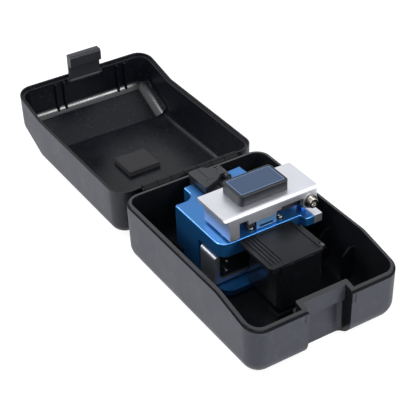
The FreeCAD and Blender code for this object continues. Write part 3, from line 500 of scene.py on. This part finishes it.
finish_of = {
    "case_tray": case_inside,
    "case_lid": lid_inside,
    "case_hinge_pin": steel,
    "case_latch": latch_plastic,
    "case_latch_pin": steel,
    "lid_foam_pad": foam_grey,
    "body_frame": blue_metal,
    "base_feet": dark_rubber,
    "hinge_block": silver_metal,
    "hinge_block_screws": bright_steel,
    "collector_screws": bright_steel,
    "rail_screws": bright_steel,
    "holder_screws": bright_steel,
    "lower_clamp_left": blue_metal,
    "lower_clamp_right": blue_metal,
    "lower_clamp_pads": dark_rubber,
    "body_magnet": bright_steel,
    "holder_plate": black_metal,
    "holder_flap": holder_metal,
    "holder_flap_pads": dark_rubber,
    "holder_flap_pin": steel,
    "guide_rail": steel,
    "guide_bearing": steel,
    "slide_carriage": knob_metal,
    "blade_cover": black_plastic,
    "cover_screws": bright_steel,
    "blade_wheel": bright_steel,
    "blade_screw": steel,
    "clamp_lid": silver_metal,
    "lid_magnet": bright_steel,
    "pivot_shaft": steel,
    "pivot_screws": bright_steel,
    "press_pad": pad_plastic,
    "pad_label": label_film,
    "upper_clamp_plate": silver_metal,
    "upper_clamp_left": black_metal,
    "upper_clamp_right": black_metal,
    "upper_clamp_pads": dark_rubber,
    "anvil": steel,
    "lid_bumper": dark_rubber,
    "collector_bin": bin_plastic,
    "collector_lid": bin_top,
    "collector_pin": washer_steel,
}

# How far the sharp edges of a dressed copy are rounded. A node that isn't named here shows itself.
rounding_of = {
    "case_tray": 0.45,
    "case_lid": 0.45,
    "case_latch": 0.4,
    "body_frame": 0.3,
    "hinge_block": 0.3,
    "lower_clamp_left": 0.15,
    "lower_clamp_right": 0.15,
    "holder_plate": 0.25,
    "holder_flap": 0.25,
    "slide_carriage": 0.25,
    "blade_cover": 0.3,
    "clamp_lid": 0.3,
    "press_pad": 0.3,
    "upper_clamp_plate": 0.3,
    "lid_bumper": 0.3,
    "collector_bin": 0.3,
    "collector_lid": 0.25,
    "pivot_screws": 0.2,
}


# Making and changing pieces

def at(x, y, z):
    """Give a place in the scene, in metres, from the cleaver's own millimetres."""
    return (seat + Vector((x, y, z))) * mm


def from_seat(pair, axis):
    """Turn two of the case's places on an axis into the cleaver's own."""
    return (pair[0] - seat[axis], pair[1] - seat[axis])


def show(form, name, body, material):
    """Turn a bmesh, in metres, into a shown piece on a body."""
    mesh = bpy.data.meshes.new(name)
    form.to_mesh(mesh)
    form.free()
    piece = bpy.data.objects.new(name, mesh)
    bpy.context.scene.collection.objects.link(piece)
    mesh.materials.append(material)
    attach(piece, body)
    return piece


def shade_smooth(piece):
    for face in piece.data.polygons:
        face.use_smooth = True


def soften(piece, width_mm):
    """Round the sharp edges of a piece and shade it smooth."""
    bevel = piece.modifiers.new("edges", "BEVEL")
    bevel.width = width_mm * mm
    bevel.segments = edge_segments
    bevel.limit_method = "ANGLE"
    bevel.angle_limit = sharp_angle
    bevel.use_clamp_overlap = True
    bevel.harden_normals = False
    weighted = piece.modifiers.new("normals", "WEIGHTED_NORMAL")
    weighted.keep_sharp = False
    shade_smooth(piece)


def opened(mesh):
    """Give a bmesh of a mesh."""
    form = bmesh.new()
    form.from_mesh(mesh)
    return form


def put_back(form, piece):
    """Write a changed bmesh into a piece's mesh."""
    form.to_mesh(piece.data)
    form.free()


def add_material(piece, material):
    """Give a piece one more material, and return the number that its faces know it by."""
    piece.data.materials.append(material)
    return len(piece.data.materials) - 1


def dressed(node):
    """Copy a node's mesh, merge its flat faces, round its edges and show it in the node's place."""
    form = opened(frame["nodes"][node].data)
    bmesh.ops.remove_doubles(form, verts=form.verts, dist=weld)
    bmesh.ops.dissolve_limit(form, angle_limit=flat_angle, verts=form.verts, edges=form.edges)
    piece = show(form, node + "_shown", bodies[node], finish_of[node])
    soften(piece, rounding_of[node])
    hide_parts(node)
    return piece


def dress_nodes():
    """Give every node its material, on its own mesh or on a dressed copy, and return the copies."""
    copies = {}
    for node, material in finish_of.items():
        if node in rounding_of:
            copies[node] = dressed(node)
        else:
            mesh = frame["nodes"][node].data
            mesh.materials.clear()
            mesh.materials.append(material)
    return copies


def block(name, body, material, x, y, z, round_mm):
    """Show a box between two values on each axis, in the cleaver's own millimetres."""
    low = at(x[0], y[0], z[0])
    high = at(x[1], y[1], z[1])
    form = bmesh.new()
    bmesh.ops.create_cube(form, size=1.0)
    bmesh.ops.scale(form, vec=high - low, verts=form.verts)
    bmesh.ops.translate(form, vec=(low + high) / 2, verts=form.verts)
    soften(show(form, name, body, material), round_mm)


def turned_piece(name, body, material, place, profile):
    """Show an upright turned piece, from radius and height pairs along its axis."""
    form = bmesh.new()
    x, y, z = place
    corners = [form.verts.new(at(x + radius, y, z + height)) for radius, height in profile]
    line = [form.edges.new(pair) for pair in zip(corners, corners[1:])]
    bmesh.ops.spin(form, geom=corners + line, cent=at(*place), axis=(0, 0, 1), angle=2 * math.pi,
                   steps=turned_sides, use_merge=True)
    bmesh.ops.holes_fill(form, edges=form.edges[:])
    bmesh.ops.recalc_face_normals(form, faces=form.faces[:])
    for face in form.faces:
        face.smooth = len(face.verts) == 4
    show(form, name, body, material)


def closed_line(name, body, material, points, width):
    """Show a thin flat line that runs round through points in one plane, in metres."""
    form = bmesh.new()
    normal = (points[1] - points[0]).cross(points[2] - points[0]).normalized()
    inner = []
    outer = []
    for index, point in enumerate(points):
        before = points[index - 1]
        after = points[(index + 1) % len(points)]
        side = ((point - before).normalized() + (after - point).normalized()).cross(normal).normalized()
        inner.append(form.verts.new(point - side * width * mm / 2))
        outer.append(form.verts.new(point + side * width * mm / 2))
    for index in range(len(points)):
        form.faces.new((inner[index - 1], inner[index], outer[index], outer[index - 1]))
    show(form, name, body, material)


def rectangle(first, second):
    """List the corners between two values of each of two directions."""
    return ((first[0], second[0]), (first[1], second[0]), (first[1], second[1]), (first[0], second[1]))


# The case

def rim_level(x):
    """Give the height of the case's rim line at x. The lid's line mirrors the tray's."""
    if x < hinge_x:
        return 2 * rim_height - rim_level(2 * hinge_x - x)
    if x < rim_kink:
        return rim_height
    return rim_height - rim_drop * (x - rim_kink) / (case_front - rim_kink)


def hull_planes(form):
    """Give the faces of a closed hull round a form, each as a point and an outward normal."""
    hull = form.copy()
    result = bmesh.ops.convex_hull(hull, input=hull.verts)
    kept = {item for item in result["geom"] if isinstance(item, bmesh.types.BMFace)
            and item.calc_area() > least_hull_face}
    planes = [(face.verts[0].co.copy(), face.normal.copy()) for face in kept]
    middle = sum((vert.co for vert in hull.verts), Vector()) / len(hull.verts)
    hull.free()
    return [(point, normal if (point - middle).dot(normal) > 0 else -normal) for point, normal in planes]


def leaves_hull(face, planes):
    """Say whether a short step off a face comes out of the hull, as it does on the outside only."""
    step = hull_reach if face.normal.z >= 0 else hull_reach_under
    probe = face.calc_center_median() + face.normal * step * mm
    return any((probe - point).dot(normal) > hull_gap * mm for point, normal in planes)


def in_latch_recess(face, x, y):
    """Say whether a face is on the back wall of the tray's latch recess."""
    deep_enough = x > case_front - recess_depth - recess_margin
    beside = recess_y[0] - recess_margin < y < recess_y[1] + recess_margin
    # Only faces towards x count, so the recess's side walls keep the dark inside plastic: painted shade
    return deep_enough and beside and face.normal.x > facing_recess


def on_lid_fillet(face, x, z):
    """Say whether a face is on the lid's inner fillets, from the foot of its slope outwards."""
    tilted = lid_fillet_normal[0] < face.normal.z < lid_fillet_normal[1]
    return tilted and z < rim_level(x) - lid_fillet_depth and x < slope_foot_x + lid_fillet_reach


def case_faces(piece, outside_material, tray):
    """Give the outside, the ledge, the tongue and the fillets of a case half their own materials."""
    # The lighter outside and the darker ledge, tongue and knuckles paint light and shade on one plastic
    outside = add_material(piece, outside_material)
    ledge = add_material(piece, case_ledge)
    tongue = add_material(piece, case_tongue)
    fillet = add_material(piece, lid_fillet)
    form = opened(piece.data)
    planes = hull_planes(form)
    for face in form.faces:
        x, y, z = face.calc_center_median() / mm
        above = z - rim_level(x)
        if abs(x - hinge_x) < knuckle_reach and above > -knuckle_reach:
            face.material_index = ledge
        elif above > tongue_margin:
            face.material_index = tongue
        elif face.normal.z > facing_up and abs(above) < ledge_margin:
            face.material_index = ledge
        elif leaves_hull(face, planes) or tray and in_latch_recess(face, x, y):
            face.material_index = outside
        elif on_lid_fillet(face, x, z) and not tray:
            face.material_index = fillet
    put_back(form, piece)


def front_tabs():
    """Make the small moulded tab and the two short ribs beside the latch recess."""
    for index, (near, far, foot, top) in enumerate(tab_places):
        block(f"front_tab_{index}", "tray", case_outside, from_seat(tab_x, 0), from_seat((near, far), 1),
              (foot, top), tab_round)


def lid_ribs():
    """Carry the four ribs on the lid's end wall down to its slope."""
    x = from_seat((lid_end_wall, lid_end_wall + lid_rib_depth), 0)
    for index, y in enumerate(lid_rib_y):
        block(f"lid_rib_{index}", "lid", lid_inside, x, from_seat((y, y + lid_rib_width), 1), lid_rib_z,
              lid_rib_round)


def cove(name, start, end, first, second):
    """Round the inner corner between two faces of the lid with a hollow strip along the corner."""
    bisector = (first + second).normalized()
    half = first.angle(second) / 2
    centre = bisector * cove_radius / math.sin(half)
    near = first * cove_radius / math.tan(half) - centre
    far = second * cove_radius / math.tan(half) - centre
    profile = [-bisector * cove_sink]
    for step in range(cove_steps + 1):
        share = step / cove_steps
        profile.append(centre + (near * (1 - share) + far * share).normalized() * cove_radius)
    form = bmesh.new()
    corners = [form.verts.new((start + point) * mm) for point in profile]
    grown = bmesh.ops.extrude_face_region(form, geom=[form.faces.new(corners)])
    moved = [item for item in grown["geom"] if isinstance(item, bmesh.types.BMVert)]
    bmesh.ops.translate(form, vec=(end - start) * mm, verts=moved)
    bmesh.ops.recalc_face_normals(form, faces=form.faces[:])
    for face in form.faces:
        face.smooth = len(face.verts) == 4 and corners[0] not in face.verts
    for edge in form.edges:
        edge.smooth = all(face.smooth for face in edge.link_faces)
    show(form, name, "lid", lid_fillet)


def lid_coves():
    """Make the broad hollow rounds at the foot of the lid's end wall and beside its slope."""
    up_slope = Vector((-math.cos(lid_slope), 0, math.sin(lid_slope)))
    off_slope = Vector((math.sin(lid_slope), 0, math.cos(lid_slope)))
    across = Vector((0, 1, 0))
    foot = Vector((slope_foot_x, 0, slope_foot_z))
    top = foot + up_slope * (slope_foot_x - lid_end_wall) / math.cos(lid_slope)
    reach = across * (lid_inner_side + cove_overrun)
    cove("lid_end_cove", top - reach, top + reach, -up_slope, Vector((0, 0, 1)))
    for name, side in (("near", -1), ("far", 1)):
        shift = across * side * lid_inner_side
        cove("lid_side_cove_" + name, foot + up_slope * cove_start + shift, top + shift, -across * side,
             off_slope)


def slope_place(up, y):
    """Give a place just off the lid's inner slope, in metres, from the way up it."""
    x = slope_foot_x - up * math.cos(lid_slope) + mark_lift * math.sin(lid_slope)
    z = slope_foot_z + up * math.sin(lid_slope) + mark_lift * math.cos(lid_slope)
    return Vector((x, y, z)) * mm


def slope_marks():
    """Make the faint plate outline and the round mark on the lid's slope."""
    plate = [slope_place(up, y) for up, y in rectangle(slope_plate_up, slope_plate_y)]
    closed_line("slope_outline", "lid", mark_grey, plate, mark_width)
    ring = []
    for side in range(slope_ring_sides):
        angle = 2 * math.pi * side / slope_ring_sides
        up = slope_ring_up + slope_ring_radius * math.cos(angle)
        ring.append(slope_place(up, slope_ring_y + slope_ring_radius * math.sin(angle)))
    closed_line("slope_ring", "lid", mark_grey, ring, mark_width)


def pad_frame():
    """Make the faint line on the lid's floor round the foam."""
    z = lid_floor + mark_lift
    corners = [Vector((x, y, z)) * mm for x, y in rectangle(pad_frame_x, pad_frame_y)]
    closed_line("pad_frame", "lid", mark_grey, corners, pad_frame_width)


def foam_place(share, half):
    """Give a place on the crowned foam, from the shares of its half sizes, and how rough the cut is there."""
    place = Vector([share[axis] * half[axis] for axis in range(3)])
    edge = min(half.x - abs(place.x), half.y - abs(place.y))
    if share.z > foam_face:
        place.z -= math.exp(-edge / (foam_crown_width * mm)) * foam_crown_drop * mm
    waist = foam_waist * mm * (1 - share.z ** 2)
    rough = noise.noise(place / mm * foam_rough_per_mm) * foam_rough_depth * mm
    for axis in (0, 1):
        if abs(share[axis]) > foam_side:
            place[axis] -= math.copysign(waist, place[axis])
    return place, rough


def foam_block():
    """Make the foam pad with crowned faces and cut, slightly uneven sides."""
    low, high = (Vector(corner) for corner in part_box("lid_foam_pad"))
    centre = (low + high) / 2
    half = (high - low) / 2
    form = bmesh.new()
    bmesh.ops.create_cube(form, size=2.0)
    bmesh.ops.subdivide_edges(form, edges=form.edges[:], cuts=foam_cuts, use_grid_fill=True)
    for vert in form.verts:
        on_floor = vert.co.z <= -foam_face
        place, rough = foam_place(vert.co.copy(), half)
        vert.co = centre + place if on_floor else centre + place + vert.normal * rough
    piece = show(form, "foam_block", "lid", foam_grey)
    shade_smooth(piece)
    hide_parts("lid_foam_pad")


# The cleaver

def on_deck_round(face, top):
    """Say whether a face is on the small CAD fillet round the deck's top edge."""
    heights = [vert.co.z for vert in face.verts]
    tilted = deck_round_normal[0] < face.normal.z < deck_round_normal[1]
    low_enough = max(heights) <= top + deck_fillet_band[1] * mm
    return tilted and low_enough and min(heights) >= top - deck_fillet_band[0] * mm


def in_blue_shadow(face):
    """Say whether a face is on the deck's edge beside the bin or the base's side, where shade is painted."""
    x, y, z = face.calc_center_median() / mm - seat
    beside_bin = face.normal.x > facing_bin and bin_side_y[0] < y < bin_side_y[1]
    on_deck_edge = deck_top - deck_edge_depth < z < deck_top
    return on_deck_edge and beside_bin or z < base_side_top and abs(face.normal.z) < facing_level


def widen_deck_edge(piece):
    """Give the deck's top edge the broad round that catches the light, and paint a highlight and shade."""
    dark = add_material(piece, blue_edge_shade)
    bright = add_material(piece, blue_round_highlight)
    form = opened(piece.data)
    top = (seat.z + deck_top) * mm
    small = deck_fillet * mm
    outward = {}
    for face in form.faces:
        if on_deck_round(face, top):
            # The near faces of the round take the lighter blue: a painted highlight
            if face.normal.y < 0 and face.normal.x < facing_end:
                face.material_index = bright
            for vert in face.verts:
                outward.setdefault(vert, Vector()).xy += face.normal.xy
    for face in form.faces:
        # The deck's edge beside the bin and the base's side take the dark blue: painted shade
        if in_blue_shadow(face):
            face.material_index = dark
    for vert, direction in outward.items():
        if direction.x > facing_end * direction.length:
            continue
        share = min(max((deck_edge_end - (vert.co.y / mm - seat.y)) / deck_edge_fade, 0), 1)
        depth = min(max(top - vert.co.z, 0), small)
        inset = small - math.sqrt(max(small ** 2 - (small - depth) ** 2, 0))
        grown = share * (deck_edge_factor - 1)
        vert.co -= direction.normalized() * inset * grown
        vert.co.z -= depth * grown
    put_back(form, piece)


def round_knob_top(piece):
    """Give the knob's upper outer edge its broad bend, from its small fillet."""
    outer_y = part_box("slide_carriage")[0][1]
    top = (seat.z + knob_top) * mm
    reach = (knob_fillet + knob_slack) * mm
    for vert in piece.data.vertices:
        inset = vert.co.y - outer_y
        depth = top - vert.co.z
        if inset < reach and -knob_slack * mm < depth < reach:
            vert.co.y = outer_y + inset * knob_bend
            vert.co.z = top - depth * knob_bend


def thin_plate_lip(piece):
    """Slant the clamp lid's underside up to its near edge, which is thin."""
    form = opened(piece.data)
    cut_y = (seat.y + lip_start) * mm
    everything = form.verts[:] + form.edges[:] + form.faces[:]
    bmesh.ops.bisect_plane(form, geom=everything, dist=weld, plane_co=(0, cut_y, 0), plane_no=(0, 1, 0))
    for vert in form.verts:
        if vert.co.y < cut_y - lip_margin * mm and vert.co.z < (seat.z + lip_under) * mm:
            vert.co.z += lip_rise * mm
    put_back(form, piece)


def darken_washers(piece):
    """Show the pivot's washers darker than the screw heads in front of them: painted shade."""
    dark = add_material(piece, washer_steel)
    for face in piece.data.polygons:
        x, y, z = face.center / mm - seat
        if math.hypot(y - pivot_y, z - pivot_z) > pivot_head_radius:
            face.material_index = dark


def label_line():
    """Show the printed line just inside the edge of the pad's label."""
    low, high = (Vector(corner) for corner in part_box("pad_label"))
    inset = Vector((label_line_inset, label_line_inset, 0)) * mm
    size = high - low - inset * 2
    middle = (low + high) / 2
    middle.z = high.z + label_line_lift * mm
    form = bmesh.new()
    bmesh.ops.create_grid(form, x_segments=1, y_segments=1, size=0.5)
    bmesh.ops.scale(form, vec=(size.x, size.y, 1), verts=form.verts)
    bmesh.ops.translate(form, vec=middle, verts=form.verts)
    bmesh.ops.bevel(form, geom=form.verts[:], offset=label_line_radius * mm, affect="VERTICES",
                    segments=label_line_steps, profile=0.5, material=-1)
    bmesh.ops.inset_region(form, faces=form.faces[:], thickness=label_line_width * mm, use_boundary=True,
                           use_even_offset=True)
    core = [face for face in form.faces if len(face.verts) > 4]
    bmesh.ops.delete(form, geom=core, context="FACES_ONLY")
    show(form, "label_line", "clamp", label_edge)


def clamp_window():
    """Make the light frame on the clamp's side, with dark blocks round and behind it as painted shade."""
    left_y = (window_y[0], window_open_y[0])
    right_y = (window_open_y[1], window_y[1])
    sill_z = (window_z[0], window_open_z[0])
    top_z = (window_open_z[1], window_z[1])
    block("clamp_dark_left", "clamp", dark_rubber, dark_left_x, dark_left_y, dark_left_z, dark_round)
    block("clamp_dark_right", "clamp", dark_rubber, dark_right_x, dark_right_y, dark_right_z, dark_round)
    block("clamp_side_left", "clamp", clamp_blue, window_x, left_y, window_z, window_post_round)
    block("clamp_side_right", "clamp", clamp_blue, window_x, right_y, window_z, window_post_round)
    block("clamp_side_top", "clamp", clamp_blue, window_x, window_open_y, top_z, window_bar_round)
    block("clamp_side_sill", "clamp", clamp_blue, window_x, window_open_y, sill_z, window_bar_round)


def deck_screws():
    """Make the two steel screws on the deck, each in its dark counterbore."""
    for name, y in deck_screw_y.items():
        place = (deck_screw_x, y, deck_top + counterbore_lift)
        turned_piece("deck_counterbore_" + name, "cleaver", dark_rubber, place, counterbore_rim)
        place = (deck_screw_x, y, deck_top + deck_screw_lift)
        turned_piece("deck_screw_" + name, "cleaver", bright_steel, place, deck_screw_head)


# The stage

def lamp(name, place, size, power):
    """Add a square lamp that faces the object."""
    data = bpy.data.lights.new(name, "AREA")
    data.size = size
    data.energy = power
    item = bpy.data.objects.new(name, data)
    bpy.context.scene.collection.objects.link(item)
    item.location = place
    item.rotation_mode = "QUATERNION"
    item.rotation_quaternion = (Vector(lamp_target) - Vector(place)).to_track_quat("-Z", "Y")


def rays_that_see_white(tree):
    """Give 1 for camera, glossy and transmission rays, which see the white background."""
    paths = tree.nodes.new("ShaderNodeLightPath")
    total = paths.outputs["Is Camera Ray"]
    for name in ("Is Glossy Ray", "Is Transmission Ray"):
        larger = tree.nodes.new("ShaderNodeMath")
        larger.operation = "MAXIMUM"
        tree.links.new(total, larger.inputs[0])
        tree.links.new(paths.outputs[name], larger.inputs[1])
        total = larger.outputs[0]
    return total


def world_light():
    """Light the object softly from all round, and show a white background behind it."""
    world = bpy.data.worlds.new("studio")
    bpy.context.scene.world = world
    world.use_nodes = True
    tree = world.node_tree
    soft = tree.nodes["Background"]
    soft.inputs["Color"].default_value = pure_white
    soft.inputs["Strength"].default_value = world_strength
    white = tree.nodes.new("ShaderNodeBackground")
    white.inputs["Color"].default_value = pure_white
    white.inputs["Strength"].default_value = 1.0
    mix = tree.nodes.new("ShaderNodeMixShader")
    tree.links.new(rays_that_see_white(tree), mix.inputs["Fac"])
    tree.links.new(soft.outputs[0], mix.inputs[1])
    tree.links.new(white.outputs[0], mix.inputs[2])
    tree.links.new(mix.outputs[0], tree.nodes["World Output"].inputs["Surface"])


def paper():
    """Make the floor's material: grey to the light, so that it keeps a shadow, and lifted to white."""
    material = bpy.data.materials.new("paper")
    material.use_nodes = True
    tree = material.node_tree
    shader = tree.nodes["Principled BSDF"]
    shader.inputs["Base Color"].default_value = (floor_grey, floor_grey, floor_grey, 1)
    shader.inputs["Roughness"].default_value = floor_roughness
    shader.inputs["Emission Color"].default_value = pure_white
    lift = tree.nodes.new("ShaderNodeMath")
    lift.operation = "MULTIPLY"
    lift.inputs[1].default_value = floor_lift
    tree.links.new(rays_that_see_white(tree), lift.inputs[0])
    tree.links.new(lift.outputs[0], shader.inputs["Emission Strength"])
    return material


def floor():
    """Lay the floor just under the case."""
    form = bmesh.new()
    bmesh.ops.create_grid(form, x_segments=1, y_segments=1, size=floor_reach)
    mesh = bpy.data.meshes.new("floor")
    form.to_mesh(mesh)
    form.free()
    mesh.materials.append(paper())
    ground = bpy.data.objects.new("floor", mesh)
    ground.location = (0, 0, -floor_drop)
    bpy.context.scene.collection.objects.link(ground)


def camera():
    """Set up the photo's camera, from the direction it looks along and its roll."""
    data = bpy.data.cameras.new("camera")
    data.sensor_width = camera_sensor
    data.lens = camera_lens
    data.clip_start, data.clip_end = camera_clip
    item = bpy.data.objects.new("camera", data)
    bpy.context.scene.collection.objects.link(item)
    back = Vector((math.sin(camera_azimuth) * math.cos(camera_elevation),
                   -math.cos(camera_azimuth) * math.cos(camera_elevation),
                   math.sin(camera_elevation)))
    right = Vector((math.cos(camera_azimuth), math.sin(camera_azimuth), 0))
    up = back.cross(right)
    across = math.cos(camera_roll) * right + math.sin(camera_roll) * up
    above = -math.sin(camera_roll) * right + math.cos(camera_roll) * up
    turn = Matrix((across, above, back)).transposed().to_4x4()
    item.matrix_world = Matrix.Translation(camera_target + back * camera_distance) @ turn
    bpy.context.scene.camera = item


shown = dress_nodes()
label_line()
darken_washers(shown["pivot_screws"])
clamp_window()
deck_screws()
front_tabs()
lid_ribs()
lid_coves()
slope_marks()
pad_frame()
foam_block()
widen_deck_edge(shown["body_frame"])
round_knob_top(shown["slide_carriage"])
thin_plate_lip(shown["clamp_lid"])
case_faces(shown["case_tray"], case_outside, tray=True)
case_faces(shown["case_lid"], case_shaded, tray=False)

world_light()
floor()
camera()
for name, place, size, power in lamps:
    lamp(name, place, size, power)
bpy.context.scene.view_settings.view_transform = "Standard"
